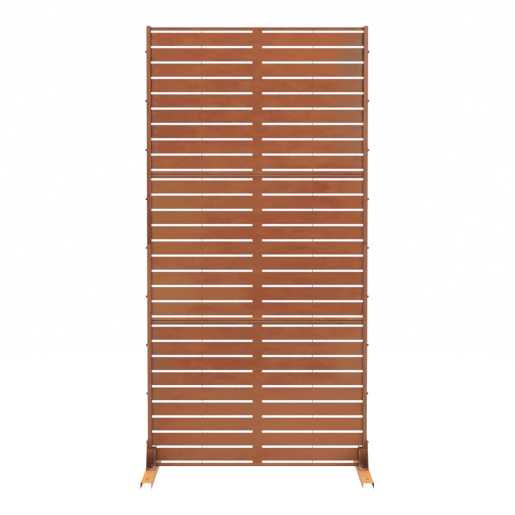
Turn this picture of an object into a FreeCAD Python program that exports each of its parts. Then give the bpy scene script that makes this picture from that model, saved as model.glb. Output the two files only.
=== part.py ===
import FreeCAD, Part
import os
import math

V = FreeCAD.Vector

# ---------------------------------------------------------------- dimensions
# Millimetres. X is the width, -Y is the front, Z is up.
# The origin is on the ground, midway between the feet and on the post centre line.

# three slatted infill panels, one above the other
PANEL_W = 894.0          # width over the side flanges
PANEL_H = 600.0          # height over the top and bottom flanges
PANEL_T = 1.0            # sheet thickness
PANEL_D = 18.0           # depth of the return flanges, front face to free edge
PANEL_FRONT_Y = -10.0    # front face of the sheet, set back behind the post flange
PANEL_BEND_R = 2.0       # outer radius of the folded edges
PANEL_NOTCH = 2.2        # corner relief where two flanges meet
RAIL_H = 15.2            # solid strip above the first slot and below the last one
SLOT_H = 8.0             # slot height
SLOT_PITCH = 62.4        # slot to slot, so each slat is 54.4 high
SLOT_ROWS = 10
SLOT_IN = 20.0           # half the width of the solid centre mullion
SLOT_OUT = 436.5         # outer end of a slot, from the centre
SLOT_R = 0.9             # corner radius of a slot
TAB_W = 2.1              # thin tab that ties two slats together near mid slot
TAB_X = 226.5            # its middle, from the centre

# side posts, folded channels in two lengths
POST_OUT = 451.0         # outer face of the post web, from the centre
POST_FLANGE = 16.5       # width of the front and rear flanges
POST_D = 32.0            # depth over the flanges
POST_T = 1.5
POST_BEND_R = 2.5        # outer radius of the folds
POST_OVER = 4.0          # how far the post stands above the top panel
POST_SPLIT = 920.0       # height of the lower length
POST_GAP = 1.5           # gap left at the butt joint

# sleeve inside each post, across the butt joint
JOIN_T = 1.4
JOIN_CLEAR = 0.1
JOIN_BOTTOM = 876.0      # above the post foot
JOIN_TOP = 1124.0
JOIN_FLANGE = 13.4

# feet, inverted channels laid front to back
FOOT_L = 560.0
FOOT_W = 45.0
FOOT_H = 25.0
FOOT_T = 2.0
FOOT_X = 434.0           # foot centre line, from the centre
FOOT_BEND_R = 3.0
STAKE_Y = 226.5          # ground fixing holes, from the centre
STAKE_R = 5.0

# outer side plates, with a base flange folded inwards on to the foot
SIDE_T = 2.0
SIDE_TOP = 136.0         # top edge, above ground
SIDE_HALF_TOP = 36.0     # half length of the top edge
SIDE_HALF_BASE = 82.0    # half length of the base
SIDE_TOE = 6.0           # short upright edge at each end of the base
SIDE_FLANGE_IN = 413.0   # inner edge of the base flange, from the centre
SIDE_BEND_R = 2.3

# front and rear gussets that box the post in
GUS_T = 2.0
GUS_IN = 418.0           # inner face of the inner wing, from the centre
GUS_TOP = 104.0
GUS_HALF_TOP = 38.0      # reach of the inner wing at its top, from the centre line
GUS_REACH = 78.0         # reach at the base
GUS_TAB_REACH = 74.0     # base tab
GUS_BEND_R = 3.0

# fasteners
SCREW_R = 2.48           # 5 mm socket cap screw, shank
SCREW_L = 16.0
SCREW_HEAD_R = 4.25
SCREW_HEAD_H = 5.0
SCREW_SOCKET = 4.0
SCREW_HOLE_R = 2.75
WASHER_R = 5.0
WASHER_T = 1.0
WASHER_HOLE_R = 2.65
NUT_AF = 8.0
NUT_H = 4.0
NUT_R = 2.5
SCREW_Y = -1.0           # screws pass the middle of the panel's side flange
SCREW_FIRST = 100.0      # first screw above the panel stack's lower edge
SCREW_PITCH = 200.0
SCREW_COUNT = 9

BOLT_R = 2.98            # 6 mm hexagon bolt, shank
BOLT_L = 16.0
BOLT_AF = 10.0
BOLT_HEAD_H = 4.0
BOLT_HOLE_R = 3.3
BOLT_WASHER_R = 6.0
BOLT_WASHER_T = 1.6
BOLT_WASHER_HOLE_R = 3.2
BOLT_NUT_H = 5.0
BOLT_NUT_R = 3.0
BOLT_Y = 50.0

# derived levels
SEAT_Z = FOOT_H + SIDE_T                 # posts and panels stand on the base flange
STACK_TOP = SEAT_Z + 3 * PANEL_H
SPLIT_Z = SEAT_Z + POST_SPLIT


# ---------------------------------------------------------------- helpers
def box(x0, x1, y0, y1, z0, z1):
    return Part.makeBox(x1 - x0, y1 - y0, z1 - z0, V(x0, y0, z0))


def _fillet_path(pts, radii):
    """Points and edges of an open polyline with an arc at each inner corner."""
    edges = []
    cur = pts[0]
    n = len(pts)
    for i in range(1, n - 1):
        p, a, b = pts[i], pts[i - 1], pts[i + 1]
        u = (a - p)
        u.normalize()
        w = (b - p)
        w.normalize()
        ang = math.acos(max(-1.0, min(1.0, u.dot(w))))
        r = radii[i]
        d = r / math.tan(ang / 2.0)
        s = p + u * d
        e = p + w * d
        bis = u + w
        bis.normalize()
        c = p + bis * (r / math.sin(ang / 2.0))
        m = c - bis * r
        edges.append(Part.LineSegment(cur, s).toShape())
        edges.append(Part.Arc(s, m, e).toShape())
        cur = e
    edges.append(Part.LineSegment(cur, pts[-1]).toShape())
    return edges


def folded_strip(pts, normal, t, r_out, run):
    """A folded strip of sheet. pts is its outer face as a polyline, the sheet
    lies on the inner side of every fold, normal is the polyline's plane normal,
    and run is the extrusion vector."""
    n = len(pts)
    # inner side, from the first fold
    inner = []
    side = None
    for i in range(1, n - 1):
        d1 = pts[i] - pts[i - 1]
        d2 = pts[i + 1] - pts[i]
        s = d1.cross(d2).dot(normal)
        side = 1.0 if s > 0 else -1.0
        break
    def left(d):
        q = normal.cross(d)
        q.normalize()
        return q * side
    for i in range(n):
        if i == 0:
            inner.append(pts[0] + left(pts[1] - pts[0]) * t)
        elif i == n - 1:
            inner.append(pts[-1] + left(pts[-1] - pts[-2]) * t)
        else:
            a = left(pts[i] - pts[i - 1])
            b = left(pts[i + 1] - pts[i])
            m = a + b
            m.normalize()
            inner.append(pts[i] + m * (t / m.dot(a)))
    r_in = r_out - t
    outer_edges = _fillet_path(pts, [r_out] * n)
    inner_edges = _fillet_path(inner, [r_in] * n)
    edges = list(outer_edges)
    edges.append(Part.LineSegment(pts[-1], inner[-1]).toShape())
    edges += list(reversed(inner_edges))
    edges.append(Part.LineSegment(inner[0], pts[0]).toShape())
    wire = Part.Wire(Part.__sortEdges__(edges))
    return Part.Face(wire).extrude(run)


def cyl_x(x0, x1, y, z, r):
    """Cylinder along X from x0 to x1."""
    if x1 < x0:
        x0, x1 = x1, x0
    return Part.makeCylinder(r, x1 - x0, V(x0, y, z), V(1, 0, 0))


def cyl_z(x, y, z0, z1, r):
    return Part.makeCylinder(r, z1 - z0, V(x, y, z0), V(0, 0, 1))


def hex_prism(centre, axis, af, h, flat_up=True):
    """Hexagonal prism, across flats af, from centre along axis."""
    rc = af / math.sqrt(3.0)
    if abs(axis.z) > 0.5:
        u, w = V(1, 0, 0), V(0, 1, 0)
    else:
        u, w = V(0, 1, 0), V(0, 0, 1)
    pts = []
    for k in range(7):
        a = math.radians(60 * k + (0 if flat_up else 30))
        pts.append(centre + u * (rc * math.cos(a)) + w * (rc * math.sin(a)))
    return Part.Face(Part.makePolygon(pts)).extrude(axis * h)


def hex_chamfered(centre, axis, af, h, both=False):
    """Hexagon whose outer corners are turned off, as on a real nut or bolt head."""
    rc = af / math.sqrt(3.0)
    solid = hex_prism(centre, axis, af, h)
    c = (rc - af / 2.0)
    hgt = c * math.tan(math.radians(30)) + 0.35
    r_flat = af / 2.0 * 0.97
    r_big = r_flat + (hgt) / math.tan(math.radians(30))
    top = centre + axis * h
    cone = Part.makeCone(r_big, r_flat, hgt, top - axis * hgt, axis)
    if both:
        body = Part.makeCylinder(r_big, h - 2 * hgt, centre + axis * hgt, axis)
        cone2 = Part.makeCone(r_flat, r_big, hgt, centre, axis)
        mask = body.fuse([cone, cone2])
    else:
        body = Part.makeCylinder(r_big, h - hgt, centre, axis)
        mask = body.fuse(cone)
    return solid.common(mask)


def one(shape):
    """The single solid of a result, cleaned of split faces."""
    shape = shape.removeSplitter()
    if len(shape.Solids) != 1:
        raise RuntimeError("expected one solid, got %d" % len(shape.Solids))
    return shape.Solids[0]


def mirror_x(shape):
    return shape.mirror(V(0, 0, 0), V(1, 0, 0))


def mirror_y(shape):
    return shape.mirror(V(0, 0, 0), V(0, 1, 0))


def prism_yz(poly, x0, x1):
    """Prism along X of a polygon given as (y, z) pairs."""
    pts = [V(x0, y, z) for y, z in poly]
    pts.append(pts[0])
    return Part.Face(Part.makePolygon(pts)).extrude(V(x1 - x0, 0, 0))


SCREW_Z = [SEAT_Z + SCREW_FIRST + SCREW_PITCH * k for k in range(SCREW_COUNT)]


# ---------------------------------------------------------------- panels
def rounded_slot(x0, x1, z0, z1, y0, y1, r):
    """A slot cutter with rounded corners, run along Y."""
    def p(x, z):
        return V(x, y0, z)
    q = r * (1.0 - math.sqrt(0.5))
    e = [
        Part.LineSegment(p(x0 + r, z0), p(x1 - r, z0)).toShape(),
        Part.Arc(p(x1 - r, z0), p(x1 - q, z0 + q), p(x1, z0 + r)).toShape(),
        Part.LineSegment(p(x1, z0 + r), p(x1, z1 - r)).toShape(),
        Part.Arc(p(x1, z1 - r), p(x1 - q, z1 - q), p(x1 - r, z1)).toShape(),
        Part.LineSegment(p(x1 - r, z1), p(x0 + r, z1)).toShape(),
        Part.Arc(p(x0 + r, z1), p(x0 + q, z1 - q), p(x0, z1 - r)).toShape(),
        Part.LineSegment(p(x0, z1 - r), p(x0, z0 + r)).toShape(),
        Part.Arc(p(x0, z0 + r), p(x0 + q, z0 + q), p(x0 + r, z0)).toShape(),
    ]
    return Part.Face(Part.Wire(e)).extrude(V(0, y1 - y0, 0))


def make_panel():
    """One infill panel with its lower edge at z = 0."""
    hw = PANEL_W / 2.0
    y0 = PANEL_FRONT_Y
    y1 = PANEL_FRONT_Y + PANEL_D
    outer = box(-hw, hw, y0, y1, 0, PANEL_H)
    front = [e for e in outer.Edges
             if abs(e.BoundBox.YMin - y0) < 1e-6 and abs(e.BoundBox.YMax - y0) < 1e-6]
    outer = outer.makeFillet(PANEL_BEND_R, front)
    t = PANEL_T
    inner = box(-hw + t, hw - t, y0 + t, y1 + 5, t, PANEL_H - t)
    front = [e for e in inner.Edges
             if abs(e.BoundBox.YMin - (y0 + t)) < 1e-6 and abs(e.BoundBox.YMax - (y0 + t)) < 1e-6]
    inner = inner.makeFillet(PANEL_BEND_R - t, front)
    shell = outer.cut(inner)

    cuts = []
    n = PANEL_NOTCH
    for sx in (-1, 1):
        for z0 in (-1.0, PANEL_H - n):
            xa, xb = sorted((sx * (hw - n), sx * (hw + 1.0)))
            cuts.append(box(xa, xb, y0 - 1, y1 + 1, z0, z0 + n + 1.0))
    spans = [(SLOT_IN, TAB_X - TAB_W / 2.0), (TAB_X + TAB_W / 2.0, SLOT_OUT)]
    for k in range(SLOT_ROWS):
        zt = PANEL_H - RAIL_H - SLOT_PITCH * k
        for a, b in spans:
            for sx in (-1, 1):
                xa, xb = sorted((sx * a, sx * b))
                cuts.append(rounded_slot(xa, xb, zt - SLOT_H, zt, y0 - 1, y0 + t + 2, SLOT_R))
    for z in (SCREW_FIRST, SCREW_FIRST + SCREW_PITCH, SCREW_FIRST + 2 * SCREW_PITCH):
        for sx in (-1, 1):
            cuts.append(cyl_x(sx * (hw - 4), sx * (hw + 2), SCREW_Y, z, SCREW_HOLE_R))
    # drain holes through the bottom flange
    for x in (-300.0, 300.0):
        cuts.append(cyl_z(x, y0 + PANEL_D / 2.0, -2, 4, 3.0))
    shell = shell.cut(Part.makeCompound(cuts))
    return one(shell)


# ---------------------------------------------------------------- posts
def post_profile(z0, z1):
    """Right-hand post channel between two levels, open towards the panels."""
    h = POST_D / 2.0
    xi = POST_OUT - POST_FLANGE
    pts = [V(xi, -h, z0), V(POST_OUT, -h, z0), V(POST_OUT, h, z0), V(xi, h, z0)]
    return folded_strip(pts, V(0, 0, 1), POST_T, POST_BEND_R, V(0, 0, z1 - z0))


def make_post(z0, z1):
    s = post_profile(z0, z1)
    cuts = [cyl_x(POST_OUT - 5, POST_OUT + 2, SCREW_Y, z, SCREW_HOLE_R)
            for z in SCREW_Z if z0 < z < z1]
    return one(s.cut(Part.makeCompound(cuts)))


def make_joiner():
    c = JOIN_CLEAR
    x = POST_OUT - POST_T - c
    h = POST_D / 2.0 - POST_T - c
    z0 = SEAT_Z + JOIN_BOTTOM
    z1 = SEAT_Z + JOIN_TOP
    pts = [V(x - JOIN_FLANGE, -h, z0), V(x, -h, z0), V(x, h, z0), V(x - JOIN_FLANGE, h, z0)]
    s = folded_strip(pts, V(0, 0, 1), JOIN_T, JOIN_T + 0.8, V(0, 0, z1 - z0))
    cuts = [cyl_x(x - 5, x + 2, SCREW_Y, z, SCREW_HOLE_R) for z in SCREW_Z if z0 < z < z1]
    return one(s.cut(Part.makeCompound(cuts)))


# ---------------------------------------------------------------- feet
def make_foot():
    w = FOOT_W / 2.0
    y0 = -FOOT_L / 2.0
    pts = [V(FOOT_X - w, y0, 0), V(FOOT_X - w, y0, FOOT_H),
           V(FOOT_X + w, y0, FOOT_H), V(FOOT_X + w, y0, 0)]
    s = folded_strip(pts, V(0, 1, 0), FOOT_T, FOOT_BEND_R, V(0, FOOT_L, 0))
    cuts = []
    for sy in (-1, 1):
        cuts.append(cyl_z(FOOT_X, sy * STAKE_Y, FOOT_H - 6, FOOT_H + 2, STAKE_R))
        cuts.append(cyl_z(FOOT_X, sy * BOLT_Y, FOOT_H - 6, FOOT_H + 2, BOLT_HOLE_R))
    return one(s.cut(Part.makeCompound(cuts)))


def make_side_plate():
    """Right-hand plate: upright outside the post web, base flange on the foot."""
    xo = POST_OUT + SIDE_T
    y0 = -SIDE_HALF_BASE
    pts = [V(xo, y0, SIDE_TOP), V(xo, y0, FOOT_H), V(SIDE_FLANGE_IN, y0, FOOT_H)]
    s = folded_strip(pts, V(0, 1, 0), SIDE_T, SIDE_BEND_R, V(0, 2 * SIDE_HALF_BASE, 0))
    b, tz = SIDE_HALF_BASE, FOOT_H + SIDE_TOE
    poly = [(-b, FOOT_H - 1), (-b, tz), (-SIDE_HALF_TOP, SIDE_TOP), (SIDE_HALF_TOP, SIDE_TOP),
            (b, tz), (b, FOOT_H - 1)]
    s = s.common(prism_yz(poly, 300.0, 500.0))
    # round the two upper corners of the upright
    tops = [e for e in s.Edges
            if abs(e.BoundBox.ZMin - SIDE_TOP) < 1e-4 and abs(e.BoundBox.ZMax - SIDE_TOP) < 1e-4
            and abs(e.BoundBox.YMin - e.BoundBox.YMax) < 1e-4]
    s = s.makeFillet(5.0, tops)
    cuts = [cyl_x(POST_OUT - 2, xo + 2, SCREW_Y, SCREW_Z[0], SCREW_HOLE_R)]
    for sy in (-1, 1):
        cuts.append(cyl_z(FOOT_X, sy * BOLT_Y, FOOT_H - 2, FOOT_H + 6, BOLT_HOLE_R))
    return one(s.cut(Part.makeCompound(cuts)))


def make_gusset():
    """Right-hand front gusset: web across the post's front flange, an inner wing
    folded forwards and a base tab folded forwards under it."""
    t = GUS_T
    yb = -POST_D / 2.0               # back of the web, on the post flange
    z0 = SEAT_Z
    # web and inner wing
    pts = [V(POST_OUT, yb, z0 + 1.0), V(GUS_IN, yb, z0 + 1.0), V(GUS_IN, -GUS_REACH, z0 + 1.0)]
    a = folded_strip(pts, V(0, 0, 1), t, GUS_BEND_R, V(0, 0, GUS_TOP - z0 - 1.0))
    poly = [(yb + 1, z0), (-GUS_REACH, z0), (-GUS_REACH, z0 + 6.0),
            (-GUS_HALF_TOP, GUS_TOP + 0.0), (-GUS_HALF_TOP, GUS_TOP + 1), (yb + 1, GUS_TOP + 1)]
    a = a.common(prism_yz(poly, 400.0, 470.0))
    # rounded upper corner of the wing
    tip = [e for e in a.Edges
           if abs(e.BoundBox.YMin + GUS_HALF_TOP) < 1e-3 and abs(e.BoundBox.YMax + GUS_HALF_TOP) < 1e-3
           and abs(e.BoundBox.ZMin - GUS_TOP) < 1e-3 and abs(e.BoundBox.ZMax - GUS_TOP) < 1e-3]
    if tip:
        a = a.makeFillet(4.0, tip)
    # make room for the lower fold and its reliefs
    xl, xr = GUS_IN + 5.0, POST_OUT - 3.0
    a = a.cut(box(GUS_IN - 1, POST_OUT + 1, yb - t - 2.2, yb + 1, z0 - 1, z0 + 5.0))
    # lower fold and base tab
    pts = [V(xl, yb, z0 + 5.0), V(xl, yb, z0), V(xl, -GUS_TAB_REACH, z0)]
    b = folded_strip(pts, V(1, 0, 0), t, GUS_BEND_R, V(xr - xl, 0, 0))
    g = a.fuse(b)
    g = g.cut(cyl_z(FOOT_X, -BOLT_Y, z0 - 2, z0 + 8, BOLT_HOLE_R))
    return one(g)


# ---------------------------------------------------------------- fasteners
def make_screw(x_seat, z):
    """Right-hand socket cap screw, head outside, seated at x_seat."""
    head = cyl_x(x_seat, x_seat + SCREW_HEAD_H, SCREW_Y, z, SCREW_HEAD_R)
    rim = [e for e in head.Edges
           if abs(e.BoundBox.XMin - (x_seat + SCREW_HEAD_H)) < 1e-6
           and abs(e.BoundBox.XMax - (x_seat + SCREW_HEAD_H)) < 1e-6]
    head = head.makeFillet(0.6, rim)
    shank = cyl_x(x_seat - SCREW_L, x_seat + 0.5, SCREW_Y, z, SCREW_R)
    tip = [e for e in shank.Edges
           if abs(e.BoundBox.XMin - (x_seat - SCREW_L)) < 1e-6
           and abs(e.BoundBox.XMax - (x_seat - SCREW_L)) < 1e-6]
    shank = shank.makeChamfer(0.6, tip)
    sock = hex_prism(V(x_seat + SCREW_HEAD_H - 2.6, SCREW_Y, z), V(1, 0, 0), SCREW_SOCKET, 4.0)
    return one(head.fuse(shank).cut(sock))


def make_washer(x_seat, z):
    w = cyl_x(x_seat, x_seat + WASHER_T, SCREW_Y, z, WASHER_R)
    w = w.makeChamfer(0.15, [e for e in w.Edges
                             if abs(e.BoundBox.XMin - (x_seat + WASHER_T)) < 1e-6
                             and abs(e.BoundBox.XMax - (x_seat + WASHER_T)) < 1e-6])
    return one(w.cut(cyl_x(x_seat - 1, x_seat + WASHER_T + 1, SCREW_Y, z, WASHER_HOLE_R)))


def make_nut(x_face, z):
    """Nut whose bearing face is at x_face, body towards the centre."""
    n = hex_chamfered(V(x_face, SCREW_Y, z), V(-1, 0, 0), NUT_AF, NUT_H, True)
    return one(n.cut(cyl_x(x_face - NUT_H - 1, x_face + 1, SCREW_Y, z, NUT_R)))


def make_bolt(y):
    z = SEAT_Z + GUS_T + BOLT_WASHER_T
    head = hex_chamfered(V(FOOT_X, y, z), V(0, 0, 1), BOLT_AF, BOLT_HEAD_H)
    shank = cyl_z(FOOT_X, y, z - BOLT_L, z + 0.5, BOLT_R)
    tip = [e for e in shank.Edges
           if abs(e.BoundBox.ZMin - (z - BOLT_L)) < 1e-6 and abs(e.BoundBox.ZMax - (z - BOLT_L)) < 1e-6]
    shank = shank.makeChamfer(0.7, tip)
    return one(head.fuse(shank))


def make_bolt_washer(y):
    z = SEAT_Z + GUS_T
    w = cyl_z(FOOT_X, y, z, z + BOLT_WASHER_T, BOLT_WASHER_R)
    return one(w.cut(cyl_z(FOOT_X, y, z - 1, z + BOLT_WASHER_T + 1, BOLT_WASHER_HOLE_R)))


def make_bolt_nut(y):
    z = FOOT_H - FOOT_T
    n = hex_chamfered(V(FOOT_X, y, z), V(0, 0, -1), BOLT_AF, BOLT_NUT_H, True)
    return one(n.cut(cyl_z(FOOT_X, y, z - BOLT_NUT_H - 1, z + 1, BOLT_NUT_R)))


# ---------------------------------------------------------------- assembly
def build():
    nodes = {}

    panel = make_panel()
    for name, k in (("bottom_panel", 0), ("middle_panel", 1), ("top_panel", 2)):
        p = panel.copy()
        p.translate(V(0, 0, SEAT_Z + PANEL_H * k))
        nodes[name] = p

    lower = make_post(SEAT_Z, SPLIT_Z - POST_GAP / 2.0)
    upper = make_post(SPLIT_Z + POST_GAP / 2.0, STACK_TOP + POST_OVER)
    joiner = make_joiner()
    foot = make_foot()
    side = make_side_plate()
    front = make_gusset()
    rear = mirror_y(front)
    for tag, f in (("right", lambda s: s.copy()), ("left", mirror_x)):
        nodes[tag + "_upper_post"] = f(upper)
        nodes[tag + "_lower_post"] = f(lower)
        nodes[tag + "_post_joiner"] = f(joiner)
        nodes[tag + "_foot"] = f(foot)
        nodes[tag + "_side_plate"] = f(side)
        nodes[tag + "_front_gusset"] = f(front)
        nodes[tag + "_rear_gusset"] = f(rear)

    screws, washers, nuts = [], [], []
    for k, z in enumerate(SCREW_Z):
        face = POST_OUT + (SIDE_T if k == 0 else 0.0)
        s = make_screw(face + WASHER_T, z)
        w = make_washer(face, z)
        n = make_nut(PANEL_W / 2.0 - PANEL_T, z)
        screws += [s, mirror_x(s)]
        washers += [w, mirror_x(w)]
        nuts += [n, mirror_x(n)]
    nodes["panel_screws"] = Part.makeCompound(screws)
    nodes["panel_screw_washers"] = Part.makeCompound(washers)
    nodes["panel_screw_nuts"] = Part.makeCompound(nuts)

    bolts, bwash, bnuts = [], [], []
    for sy in (-1, 1):
        b = make_bolt(sy * BOLT_Y)
        w = make_bolt_washer(sy * BOLT_Y)
        n = make_bolt_nut(sy * BOLT_Y)
        bolts += [b, mirror_x(b)]
        bwash += [w, mirror_x(w)]
        bnuts += [n, mirror_x(n)]
    nodes["base_bolts"] = Part.makeCompound(bolts)
    nodes["base_bolt_washers"] = Part.makeCompound(bwash)
    nodes["base_bolt_nuts"] = Part.makeCompound(bnuts)
    return nodes


os.makedirs("parts", exist_ok=True)
NODES = build()
for name, shape in NODES.items():
    if not shape.isValid():
        raise RuntimeError("invalid shape: " + name)
    shape.exportStep("parts/%s.step" % name)
    bb = shape.BoundBox
    print("%-20s solids %2d  volume %10.1f  x %7.1f %7.1f  y %7.1f %7.1f  z %7.1f %7.1f" % (
        name, len(shape.Solids), shape.Volume,
        bb.XMin, bb.XMax, bb.YMin, bb.YMax, bb.ZMin, bb.ZMax))
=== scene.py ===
import math

import bpy
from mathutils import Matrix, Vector

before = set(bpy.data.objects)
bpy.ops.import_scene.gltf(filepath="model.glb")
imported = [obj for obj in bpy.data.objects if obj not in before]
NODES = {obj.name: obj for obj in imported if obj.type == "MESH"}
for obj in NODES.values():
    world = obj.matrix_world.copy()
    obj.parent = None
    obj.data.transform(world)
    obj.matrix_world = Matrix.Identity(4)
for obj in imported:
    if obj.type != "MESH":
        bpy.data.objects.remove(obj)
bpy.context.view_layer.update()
scene = bpy.context.scene

# ---------------------------------------------------------------- dimensions, metres
SEAT_Z = 0.027            # underside of the panel stack
PANEL_H = 0.600
PANEL_FRONT_Y = -0.010
STACK_TOP = SEAT_Z + 3 * PANEL_H
RAIL_H = 0.0152
SLOT_H = 0.008
SLOT_PITCH = 0.0624
MULLION = 0.020           # half width of the solid strip in the middle
POST_IN = 0.4345          # inner edge of the post flanges
POST_OUT = 0.451
SPLIT_Z = 0.947           # butt joint of the posts
SLEEVE_TOP = 1.151        # top of the sleeve inside the posts
FOOT_TOP = 0.025
FOOT_X = 0.434            # centre line of a foot
FOOT_W = 0.045
STAKE_Y = 0.2265          # ground fixing holes
GUSSET_IN = 0.418         # inner wing of a gusset
GUSSET_TOP = 0.104


def lin(h):
    """Linear RGBA of an sRGB hex colour."""
    out = []
    for i in (0, 2, 4):
        c = int(h[i:i + 2], 16) / 255.0
        out.append(c / 12.92 if c <= 0.04045 else ((c + 0.055) / 1.055) ** 2.4)
    return (*out, 1.0)


# ---------------------------------------------------------------- material nets
class Net:
    """Small helper that builds one material's node tree."""

    def __init__(self, name):
        self.mat = bpy.data.materials.new(name)
        self.mat.use_nodes = True
        self.t = self.mat.node_tree
        self.t.nodes.clear()
        self.out = self.t.nodes.new("ShaderNodeOutputMaterial")
        self.bsdf = self.t.nodes.new("ShaderNodeBsdfPrincipled")
        self.t.links.new(self.bsdf.outputs["BSDF"], self.out.inputs["Surface"])
        tc = self.t.nodes.new("ShaderNodeTexCoord")
        self.pos = tc.outputs["Object"]
        s = self.t.nodes.new("ShaderNodeSeparateXYZ")
        self.t.links.new(self.pos, s.inputs[0])
        self.x, self.y, self.z = s.outputs[0], s.outputs[1], s.outputs[2]
        self.ax = self.m("ABSOLUTE", self.x)
        self.ay = self.m("ABSOLUTE", self.y)

    def put(self, sock, v):
        if isinstance(v, bpy.types.NodeSocket):
            self.t.links.new(v, sock)
        else:
            sock.default_value = v

    def m(self, op, a, b=None, c=None, clamp=False):
        n = self.t.nodes.new("ShaderNodeMath")
        n.operation = op
        n.use_clamp = clamp
        for i, v in enumerate((a, b, c)):
            if v is not None:
                self.put(n.inputs[i], v)
        return n.outputs[0]

    def add(self, a, b):
        return self.m("ADD", a, b)

    def mul(self, a, b):
        return self.m("MULTIPLY", a, b)

    def ramp(self, v, lo, hi, a=0.0, b=1.0, kind="SMOOTHSTEP"):
        """Maps v from lo..hi to a..b."""
        n = self.t.nodes.new("ShaderNodeMapRange")
        n.interpolation_type = kind
        self.put(n.inputs["Value"], v)
        n.inputs["From Min"].default_value = lo
        n.inputs["From Max"].default_value = hi
        n.inputs["To Min"].default_value = a
        n.inputs["To Max"].default_value = b
        return n.outputs["Result"]

    def vec(self, sx=1.0, sy=1.0, sz=1.0, off=(0.0, 0.0, 0.0)):
        """Object position, scaled and shifted."""
        n = self.t.nodes.new("ShaderNodeMapping")
        self.t.links.new(self.pos, n.inputs["Vector"])
        n.inputs["Scale"].default_value = (sx, sy, sz)
        n.inputs["Location"].default_value = off
        return n.outputs[0]

    def noise(self, vec, scale, detail=3.0, rough=0.5, distort=0.0):
        n = self.t.nodes.new("ShaderNodeTexNoise")
        self.put(n.inputs["Vector"], vec)
        n.inputs["Scale"].default_value = scale
        n.inputs["Detail"].default_value = detail
        n.inputs["Roughness"].default_value = rough
        n.inputs["Distortion"].default_value = distort
        return n.outputs[0]

    def cells(self, vec, scale, out="Distance", randomness=1.0):
        n = self.t.nodes.new("ShaderNodeTexVoronoi")
        self.put(n.inputs["Vector"], vec)
        n.inputs["Scale"].default_value = scale
        n.inputs["Randomness"].default_value = randomness
        return n.outputs[out]

    def mix(self, fac, a, b, blend="MIX"):
        n = self.t.nodes.new("ShaderNodeMix")
        n.data_type = "RGBA"
        n.blend_type = blend
        n.clamp_factor = True
        self.put(n.inputs[0], fac)
        self.put(n.inputs[6], a)
        self.put(n.inputs[7], b)
        return n.outputs[2]

    def gain(self, colour, value):
        """Colour times a grey value."""
        c = self.t.nodes.new("ShaderNodeCombineColor")
        for i in range(3):
            self.put(c.inputs[i], value)
        return self.mix(1.0, colour, c.outputs[0], "MULTIPLY")

    def blob(self, cx, cz, rx, rz, soft=1.0):
        """A soft spot on the XZ plane, 1 at its middle and 0 outside."""
        dx = self.mul(self.add(self.x, -cx), 1.0 / rx)
        dz = self.mul(self.add(self.z, -cz), 1.0 / rz)
        d = self.m("SQRT", self.add(self.mul(dx, dx), self.mul(dz, dz)))
        return self.ramp(d, soft, 0.0)

    def bump(self, height, dist, strength=1.0, normal=None):
        n = self.t.nodes.new("ShaderNodeBump")
        n.inputs["Strength"].default_value = strength
        n.inputs["Distance"].default_value = dist
        self.put(n.inputs["Height"], height)
        if normal is not None:
            self.t.links.new(normal, n.inputs["Normal"])
        return n.outputs[0]

    def finish(self, colour, rough, normal, spec=0.4):
        self.put(self.bsdf.inputs["Base Color"], colour)
        self.put(self.bsdf.inputs["Roughness"], rough)
        self.put(self.bsdf.inputs["Normal"], normal)
        self.put(self.bsdf.inputs["Specular IOR Level"], spec)
        return self.mat


def coat_surface(n, colour, along="x", rough=0.5, spec=0.2, grain=1.0):
    """Texture shared by every coated piece: fine grained powder coat with faint
    brushed streaks, small pits and a few rust freckles."""
    fine = n.noise(n.vec(1, 1, 1), 1500.0, 2.0, 0.6)
    peel = n.noise(n.vec(1, 1, 1), 420.0, 2.0, 0.5)
    if along == "x":
        streak = n.noise(n.vec(14, 60, 420), 1.0, 3.0, 0.6)
    elif along == "z":
        streak = n.noise(n.vec(420, 420, 12), 1.0, 3.0, 0.6)
    else:
        streak = n.noise(n.vec(420, 14, 420), 1.0, 3.0, 0.6)
    grainy = n.cells(n.vec(1, 1, 1), 620.0)
    freckle = n.ramp(n.noise(n.vec(1, 1, 1), 190.0, 3.0, 0.65), 0.60, 0.74)
    colour = n.gain(colour, n.ramp(fine, 0.2, 0.8, 1.0 - 0.11 * grain, 1.0 + 0.11 * grain, "LINEAR"))
    colour = n.gain(colour, n.ramp(streak, 0.2, 0.8, 1.0 - 0.07 * grain, 1.0 + 0.07 * grain, "LINEAR"))
    colour = n.mix(n.mul(freckle, 0.35), colour, n.gain(colour, 0.62))
    height = n.add(n.mul(fine, 0.5), n.add(n.mul(peel, 1.0), n.mul(grainy, 0.35)))
    r = n.add(n.ramp(streak, 0.2, 0.8, rough - 0.07, rough + 0.07, "LINEAR"),
              n.mul(freckle, 0.12))
    return n.finish(colour, r, n.bump(height, 0.00018, 0.55), spec)


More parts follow.
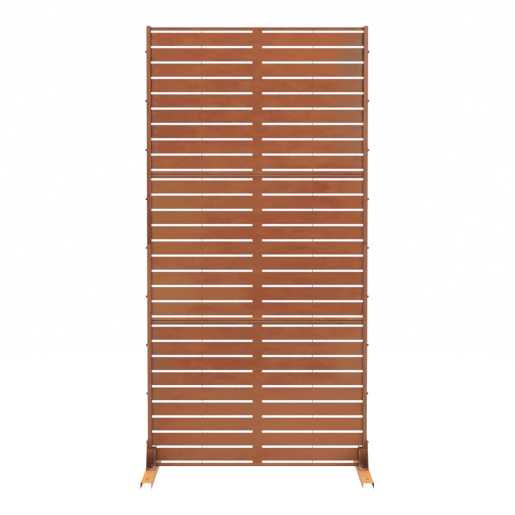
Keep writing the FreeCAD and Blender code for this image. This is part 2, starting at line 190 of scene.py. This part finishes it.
# ---------------------------------------------------------------- panel coat
# broad tones on the stack: centre x and z, half width, half height, colour, strength
TONES = (
    (-0.42, 1.66, 0.22, 0.16, "87482a", 0.60),
    (0.26, 1.72, 0.34, 0.20, "95532e", 0.70),    # warm, upper right
    (0.44, 1.70, 0.20, 0.22, "7c573f", 0.90),    # grey brown, upper right corner
    (0.43, 1.46, 0.20, 0.36, "88573a", 0.75),
    (-0.40, 1.45, 0.22, 0.22, "804529", 0.70),   # darker, upper left
    (-0.38, 1.02, 0.30, 0.34, "8f5731", 0.80),   # light brown, left of the middle
    (0.20, 1.30, 0.18, 0.07, "975932", 0.60),
    (0.42, 1.17, 0.20, 0.10, "935634", 0.60),
    (0.05, 1.10, 0.34, 0.10, "8e5030", 0.50),
    (0.10, 0.78, 0.44, 0.26, "864526", 0.40),    # redder, below the middle
    (0.44, 0.98, 0.22, 0.34, "8f4f30", 0.60),
    (-0.40, 0.74, 0.32, 0.20, "935d36", 0.85),
    (-0.13, 0.73, 0.18, 0.13, "935937", 0.65),
    (-0.44, 0.40, 0.16, 0.42, "855336", 0.60),   # dull, lower left
    (-0.05, 0.56, 0.30, 0.10, "83452a", 0.30),
    (-0.10, 0.20, 0.50, 0.30, "935937", 0.80),
    (0.26, 0.20, 0.40, 0.32, "985d3b", 0.75),    # pale, lower right
    (0.42, 0.46, 0.22, 0.28, "935c3a", 0.75),
)


def panel_coat():
    n = Net("panel_coat_rust")
    mid, red = lin("8c4c2d"), lin("874125")
    light, grey = lin("985a34"), lin("845a3e")
    # clouds of two sizes, drawn out along the sheet
    big = n.noise(n.vec(2.6, 3.0, 5.5, (3.1, 0.7, 1.9)), 1.0, 4.0, 0.55, 0.4)
    small = n.noise(n.vec(11.0, 9.0, 26.0, (0.4, 2.2, 5.1)), 1.0, 5.0, 0.6, 0.3)
    spots = n.noise(n.vec(48.0, 48.0, 70.0, (7.7, 1.2, 0.6)), 1.0, 3.0, 0.6, 0.5)
    hair = n.noise(n.vec(5.0, 5.0, 150.0, (1.4, 0.2, 0.1)), 1.0, 3.0, 0.6)
    c = n.mix(n.ramp(big, 0.34, 0.66), red, mid)
    c = n.mix(n.mul(n.ramp(small, 0.42, 0.72), 0.55), c, light)
    c = n.mix(n.mul(n.ramp(spots, 0.50, 0.75), 0.36), c, grey)
    c = n.mix(n.mul(n.ramp(spots, 0.46, 0.28), 0.30), c, lin("94512a"))
    c = n.gain(c, n.ramp(hair, 0.25, 0.75, 0.97, 1.03, "LINEAR"))
    mottle = n.noise(n.vec(19.0, 19.0, 40.0, (5.5, 2.4, 3.3)), 1.0, 3.0, 0.6, 0.6)
    c = n.gain(c, n.ramp(mottle, 0.28, 0.72, 0.89, 1.11, "LINEAR"))
    # broad weather tones, each with a ragged border
    ragged = n.add(n.mul(n.add(small, -0.5), 0.55), n.mul(n.add(big, -0.5), 0.35))
    for cx, cz, rx, rz, tone, most in TONES:
        w = n.add(n.blob(cx, cz, rx, rz), ragged)
        c = n.mix(n.ramp(w, 0.12, 0.80, 0.0, most), c, lin(tone))
    # height inside each panel: 0 at its lower edge, PANEL_H at its upper edge
    t = n.m("FLOORED_MODULO", n.add(n.z, -SEAT_Z - 0.00005), PANEL_H)
    # paler rubbed patches in the corners of the slats, beside the posts
    w = n.mul(n.ramp(n.ax, 0.392, 0.424), n.ramp(spots, 0.44, 0.62))
    c = n.mix(n.mul(w, n.ramp(n.z, 0.9, 1.5, 0.15, 0.45)), c, lin("9c6a4b"))
    # the top rail of every panel is duller than its slats
    rail = n.ramp(t, PANEL_H - RAIL_H, PANEL_H - RAIL_H + 0.002)
    uppermost = n.ramp(n.z, STACK_TOP - 0.05, STACK_TOP - 0.03)
    dull = n.mix(uppermost, (0.77, 0.86, 0.93, 1.0), (0.92, 0.93, 0.98, 1.0))
    c = n.mix(rail, c, n.mix(1.0, c, dull, "MULTIPLY"))
    # the bottom rail of every panel is a little lighter
    foot_rail = n.ramp(t, RAIL_H + 0.001, RAIL_H - 0.002)
    c = n.mix(foot_rail, c, n.mix(1.0, c, (1.19, 1.28, 1.27, 1.0), "MULTIPLY"))
    # smudges along the uppermost rail
    smudge = n.mul(n.ramp(n.noise(n.vec(26.0, 26.0, 300.0, (2.2, 0.3, 0.8)), 1.0, 3.0, 0.6), 0.54, 0.66),
                   n.ramp(n.z, STACK_TOP - RAIL_H, STACK_TOP - RAIL_H + 0.002))
    c = n.mix(n.mul(smudge, 0.55), c, lin("6b4634"))
    # contact shade on the lowest slat beside the inner wings of the gussets
    shade = n.mul(n.ramp(n.ax, 0.4035, 0.4140), n.ramp(n.z, 0.106, 0.094))
    c = n.mix(n.mul(shade, 0.75), c, n.gain(c, 0.45))
    # bends at the seams: painted shade under the lower edge, painted highlight of the top light over the upper
    # edge
    ends = n.ramp(n.add(n.ax, n.mul(n.add(small, -0.5), 0.2)), 0.10, 0.38)
    under_bend_shade_mask = n.ramp(t, 0.0048, 0.0034)
    under_bend_shade_colour = n.mix(1.0, n.gain(c, 0.22), (1.0, 0.72, 0.60, 1.0), "MULTIPLY")
    c = n.mix(n.mul(under_bend_shade_mask, n.ramp(ends, 0.0, 1.0, 0.76, 0.97, "LINEAR")), c, under_bend_shade_colour)
    over_bend_highlight_mask = n.ramp(t, PANEL_H - 0.0042, PANEL_H - 0.0030)
    c = n.mix(n.mul(over_bend_highlight_mask, 0.8), c, lin("a8765a"))
    # painted shade along the cut edges of the slots: a narrow darker, redder line above and below
    u = n.m("FLOORED_MODULO", n.m("SUBTRACT", PANEL_H - RAIL_H, t), SLOT_PITCH)
    d = n.m("MINIMUM", n.add(u, -SLOT_H), n.m("SUBTRACT", SLOT_PITCH, u))
    beside = n.ramp(n.ax, MULLION - 0.001, MULLION + 0.003)
    slot_edge_shade = n.mul(n.ramp(n.add(d, n.mul(n.add(small, -0.5), 0.002)), 0.0052, 0.0016), beside)
    c = n.mix(n.mul(slot_edge_shade, 0.75), c, n.gain(c, 0.80))
    # painted shadow of the post flanges on the recessed panel, darkest at the top
    # and a little wider on the right, with a painted highlight rim half way up
    wide = n.mul(n.ramp(n.x, -0.1, 0.1, 0.0, 0.0032, "LINEAR"), n.ramp(n.z, 0.75, 1.35))
    flange_shadow = n.ramp(n.add(n.add(n.ax, wide), n.mul(n.add(small, -0.5), 0.0010)), 0.4290, 0.4312)
    c = n.mix(n.mul(flange_shadow, n.ramp(n.z, 1.12, 1.58, 0.34, 0.86)), c, n.gain(c, 0.24))
    # painted highlight: a pale strip beside the right post stands for the lit inner edge of its flange
    rim = n.mul(n.ramp(n.x, 0.4314, 0.4326), n.mul(n.ramp(n.z, 0.76, 0.84), n.ramp(n.z, 1.52, 1.42)))
    c = n.mix(n.mul(rim, 0.8), c, lin("9a6044"))
    return coat_surface(n, c, "x", 0.52, 0.18, 0.75)


# ---------------------------------------------------------------- post coat
def post_coat(name, side, shift):
    """side -1: left post, +1: right post."""
    n = Net(name)
    mid, red = (lin("8e5232"), lin("864b2e")) if side < 0 else (lin("8d573c"), lin("865038"))
    pale, grey = lin("9c6a50"), lin("86604a")
    big = n.noise(n.vec(9.0, 9.0, 3.0, shift), 1.0, 4.0, 0.6, 0.4)
    small = n.noise(n.vec(60.0, 60.0, 22.0, shift), 1.0, 4.0, 0.6, 0.3)
    c = n.mix(n.ramp(big, 0.36, 0.64), red, mid)
    c = n.mix(n.mul(n.ramp(small, 0.40, 0.70), 0.35), c, pale)
    wander = n.mul(n.add(small, -0.5), 0.06)
    zz = n.add(n.z, wander)
    above = n.ramp(n.z, SPLIT_Z - 0.001, SPLIT_Z + 0.001)
    if side < 0:
        # darker down the upper length towards the joint, the plain coat again below it
        darker_toward_joint = n.mix(1.0, c, (0.63, 0.585, 0.57, 1.0), "MULTIPLY")
        c = n.mix(n.mul(n.ramp(zz, 1.72, 1.02), above), c, darker_toward_joint)
        c = n.mix(n.mul(n.ramp(zz, 0.75, 0.15), 0.6), c, lin("865b43"))
        # painted highlight on the inner edge of the flange, where its fold catches the light
        inner_edge_highlight = n.mul(n.ramp(n.ax, POST_IN + 0.0050, POST_IN + 0.0022), n.ramp(zz, 1.05, 1.12))
        c = n.mix(n.mul(inner_edge_highlight, n.ramp(zz, 1.66, 1.52, 0.0, 0.75)), c, lin("a3653f"))
    else:
        c = n.mix(n.mul(n.ramp(zz, 1.40, 1.62), 0.75), c, lin("94624a"))
        dim = n.mul(n.ramp(zz, 1.150, 1.115), n.ramp(zz, 0.985, 1.010))
        c = n.mix(n.mul(dim, 0.60), c, lin("875137"))
        c = n.mix(n.mul(n.ramp(zz, 0.75, 0.15), 0.4), c, grey)
        # painted highlight on the inner edge of the flange
        inner_edge_highlight = n.ramp(n.ax, POST_IN + 0.0045, POST_IN + 0.0020)
        c = n.mix(n.mul(inner_edge_highlight, n.mul(n.ramp(zz, 1.25, 1.40, 0.0, 0.7), n.ramp(zz, 1.72, 1.66))), c, lin("a87459"))
    # rims of the butt joint
    rim = n.ramp(n.m("ABSOLUTE", n.add(n.z, -SPLIT_Z)), 0.0045, 0.002)
    c = n.mix(n.mul(rim, 0.85), c, n.gain(c, 0.45))
    return coat_surface(n, c, "z", 0.48, 0.2)


# ---------------------------------------------------------------- base coats
def foot_coat():
    n = Net("foot_coat_orange")
    # bright orange coat: partly its own colour, partly painted light of the overhead lamp on the top
    mid, deep, pale = lin("d39754"), lin("c68748"), lin("dbab70")
    big = n.noise(n.vec(16.0, 11.0, 16.0, (0.3, 0.9, 0.2)), 1.0, 4.0, 0.6, 0.4)
    small = n.noise(n.vec(95.0, 80.0, 95.0), 1.0, 4.0, 0.6)
    c = n.mix(n.ramp(big, 0.36, 0.64), deep, mid)
    c = n.mix(n.mul(n.ramp(small, 0.42, 0.7), 0.5), c, pale)
    # painted shade: the sides are duller and pinker than the top, which is painted as lit from above
    side = n.ramp(n.z, FOOT_TOP - 0.0008, FOOT_TOP - 0.0030)
    c = n.mix(n.mul(side, 0.92), c, lin("ad7d62"))
    # painted shade on the unlit inside of the channel
    off = n.m("ABSOLUTE", n.add(n.ax, -FOOT_X))
    channel_inside_shade = n.mul(n.ramp(off, FOOT_W / 2 - 0.0008, FOOT_W / 2 - 0.0016), n.ramp(n.z, FOOT_TOP - 0.0008, FOOT_TOP - 0.0016))
    c = n.mix(n.mul(channel_inside_shade, 0.97), c, lin("4d2f22"))
    # painted shade: dark rings around the ground fixing holes stand for their shaded inner walls
    hx, hy = n.add(n.ax, -FOOT_X), n.add(n.ay, -STAKE_Y)
    hole = n.m("SQRT", n.add(n.mul(hx, hx), n.mul(hy, hy)))
    c = n.mix(n.mul(n.ramp(hole, 0.0082, 0.0072), 0.9), c, lin("7d5645"))
    # scuffs near the ground
    low = n.ramp(n.add(n.z, n.mul(n.add(small, -0.5), 0.012)), 0.010, 0.0)
    c = n.mix(n.mul(low, 0.45), c, lin("8a6a52"))
    return coat_surface(n, c, "y", 0.50, n.ramp(channel_inside_shade, 0.0, 1.0, 0.2, 0.0), 0.55)


def bracket_coat(name, dim):
    n = Net(name)
    mid, red, dark = lin("b37453"), lin("a56544"), lin("8a6350")
    big = n.noise(n.vec(26.0, 20.0, 18.0, (1.3, 0.2, 0.4)), 1.0, 4.0, 0.6, 0.5)
    small = n.noise(n.vec(120.0, 120.0, 120.0), 1.0, 4.0, 0.65)
    c = n.mix(n.ramp(big, 0.36, 0.64), red, mid)
    # darker towards the base: painted shade of the bracket's recess
    h = n.add(n.z, n.mul(n.add(small, -0.5), 0.05))
    c = n.mix(n.mul(n.ramp(h, 0.105, 0.045), dim), c, dark)
    if dim > 0.5:
        # painted shade: the inner wing is darkened like the shaded recess from half height down
        wing_shade = n.mul(n.ramp(n.ax, GUSSET_IN + 0.0055, GUSSET_IN + 0.0035), n.ramp(h, 0.094, 0.074))
        c = n.mix(n.mul(wing_shade, 0.9), c, n.gain(c, 0.42))
        # and a painted shadow line is darkest along its top edge
        top = n.ramp(n.z, GUSSET_TOP - 0.0040, GUSSET_TOP - 0.0025)
        c = n.mix(n.mul(top, 0.9), c, n.gain(c, 0.40))
        # painted light on the base tab, brightest at its inner corner where the overhead light falls past the
        # wings
        tab_light = n.mul(n.ramp(n.z, 0.041, 0.033), n.ramp(n.ax, 0.444, 0.424))
        c = n.mix(n.mul(tab_light, 0.85), c, lin("d8a98f"))
    else:
        # base flange behind the panels: painted light, as bright as the lit foot it lies on
        lit = n.mul(n.ramp(n.ay, 0.052, 0.062), n.mul(n.ramp(n.z, 0.0300, 0.0285), n.ramp(n.y, -0.02, 0.02)))
        c = n.mix(n.mul(lit, 0.85), c, lin("cf9250"))
    return coat_surface(n, c, "z", 0.54, 0.18)


def fastener_coat(name, mid, dark):
    n = Net(name)
    spots = n.noise(n.vec(1, 1, 1), 240.0, 3.0, 0.6)
    c = n.mix(n.ramp(spots, 0.35, 0.65), lin(dark), lin(mid))
    return coat_surface(n, c, "z", 0.55, 0.05, 0.8)


PANEL = panel_coat()
LEFT_POST = post_coat("left_post_coat", -1, (0.2, 0.4, 0.9))
RIGHT_POST = post_coat("right_post_coat", 1, (4.2, 1.4, 7.7))
FOOT = foot_coat()
GUSSET = bracket_coat("gusset_coat", 0.85)
SIDE = bracket_coat("side_plate_coat", 0.35)
SCREW = fastener_coat("screw_coat_dark", "56230f", "3d170a")
BOLT = fastener_coat("bolt_coat_brown", "7a4029", "5c2e1c")


def finish_of(name):
    if name.endswith("_panel"):
        return PANEL
    if "post" in name:
        return LEFT_POST if name.startswith("left") else RIGHT_POST
    if name.endswith("_foot"):
        return FOOT
    if name.endswith("_side_plate"):
        return SIDE
    if name.endswith("_gusset"):
        return GUSSET
    return SCREW if name.startswith("panel_screw") else BOLT


for name, o in NODES.items():
    for slot in o.material_slots:
        slot.material = finish_of(name)


# ---------------------------------------------------------------- studio
def area(name, at, aim, sx, sy, power, colour=(1.0, 1.0, 1.0)):
    d = bpy.data.lights.new(name, "AREA")
    d.shape = "RECTANGLE"
    d.size, d.size_y = sx, sy
    d.energy = power
    d.color = colour
    o = bpy.data.objects.new(name, d)
    o.location = at
    o.rotation_euler = (Vector(aim) - Vector(at)).to_track_quat("-Z", "Y").to_euler()
    o.visible_camera = False
    scene.collection.objects.link(o)
    return o


area("softbox_top", (0.0, -0.15, 4.2), (0.0, 0.0, 0.9), 3.4, 3.4, 177.0)
area("softbox_left", (-3.2, -1.9, 1.5), (0.0, 0.0, 0.9), 1.6, 2.6, 38.0)
area("softbox_right", (3.2, -1.9, 1.5), (0.0, 0.0, 0.9), 1.6, 2.6, 38.0)

world = bpy.data.worlds.new("studio")
scene.world = world
world.use_nodes = True
wt = world.node_tree
wt.nodes.clear()
wo = wt.nodes.new("ShaderNodeOutputWorld")
lit = wt.nodes.new("ShaderNodeBackground")
seen = wt.nodes.new("ShaderNodeBackground")
lit.inputs["Strength"].default_value = 0.628
seen.inputs["Strength"].default_value = 1.0
for b in (lit, seen):
    b.inputs["Color"].default_value = (1.0, 1.0, 1.0, 1.0)
lp = wt.nodes.new("ShaderNodeLightPath")
wm = wt.nodes.new("ShaderNodeMixShader")
wt.links.new(lp.outputs["Is Camera Ray"], wm.inputs[0])
wt.links.new(lit.outputs[0], wm.inputs[1])
wt.links.new(seen.outputs[0], wm.inputs[2])
wt.links.new(wm.outputs[0], wo.inputs["Surface"])

# pale floor: a wide disc that fades into the white surroundings
RINGS, SPOKES = (0.0, 1.5, 3.0, 6.0, 12.0, 40.0), 64
verts, faces = [(0.0, 0.0, 0.0)], []
for r in RINGS[1:]:
    for k in range(SPOKES):
        a = 2 * math.pi * k / SPOKES
        verts.append((r * math.cos(a), r * math.sin(a), 0.0))
for k in range(SPOKES):
    faces.append((0, 1 + k, 1 + (k + 1) % SPOKES))
for i in range(len(RINGS) - 2):
    a, b = 1 + i * SPOKES, 1 + (i + 1) * SPOKES
    for k in range(SPOKES):
        l = (k + 1) % SPOKES
        faces.append((a + k, b + k, b + l, a + l))
fm = bpy.data.meshes.new("studio_floor")
fm.from_pydata(verts, [], faces)
floor = bpy.data.objects.new("studio_floor", fm)
floor.location = (0.0, 0.0, -0.0003)
scene.collection.objects.link(floor)
fmat = bpy.data.materials.new("studio_floor")
fmat.use_nodes = True
ft = fmat.node_tree
ft.nodes.clear()
fo = ft.nodes.new("ShaderNodeOutputMaterial")
fd = ft.nodes.new("ShaderNodeBsdfDiffuse")
fd.inputs["Color"].default_value = (0.22, 0.22, 0.2195, 1.0)
fe = ft.nodes.new("ShaderNodeEmission")
fe.inputs["Color"].default_value = (1.0, 1.0, 1.0, 1.0)
fe.inputs["Strength"].default_value = 1.0
fg = ft.nodes.new("ShaderNodeEmission")
fg.inputs["Color"].default_value = (1.0, 1.0, 1.0, 1.0)
fg.inputs["Strength"].default_value = 0.94
fa = ft.nodes.new("ShaderNodeAddShader")
ft.links.new(fd.outputs[0], fa.inputs[0])
ft.links.new(fg.outputs[0], fa.inputs[1])
ftc = ft.nodes.new("ShaderNodeTexCoord")
fl = ft.nodes.new("ShaderNodeVectorMath")
fl.operation = "LENGTH"
ft.links.new(ftc.outputs["Object"], fl.inputs[0])
fr = ft.nodes.new("ShaderNodeMapRange")
fr.interpolation_type = "SMOOTHSTEP"
fr.inputs["From Min"].default_value = 1.2
fr.inputs["From Max"].default_value = 4.0
ft.links.new(fl.outputs["Value"], fr.inputs["Value"])
fx = ft.nodes.new("ShaderNodeMixShader")
ft.links.new(fr.outputs["Result"], fx.inputs[0])
ft.links.new(fa.outputs[0], fx.inputs[1])
ft.links.new(fe.outputs[0], fx.inputs[2])
ft.links.new(fx.outputs[0], fo.inputs["Surface"])
fm.materials.append(fmat)

scene.view_settings.view_transform = "Standard"
scene.view_settings.look = "None"
scene.view_settings.exposure = 0.0
scene.view_settings.gamma = 1.0

# ---------------------------------------------------------------- camera
cd = bpy.data.cameras.new("camera")
cd.sensor_fit = "HORIZONTAL"
cd.sensor_width = 36.0
cd.lens = 1241.8 / 515.0 * 36.0
cd.shift_x = -0.0019
cd.shift_y = -0.060
cd.clip_start, cd.clip_end = 0.05, 200.0
cam = bpy.data.objects.new("camera", cd)
cam.location = (0.0049, -5.085, 1.1916)
cam.rotation_euler = (math.radians(90.0 - 1.998), 0.0, 0.0)
scene.collection.objects.link(cam)
scene.camera = cam
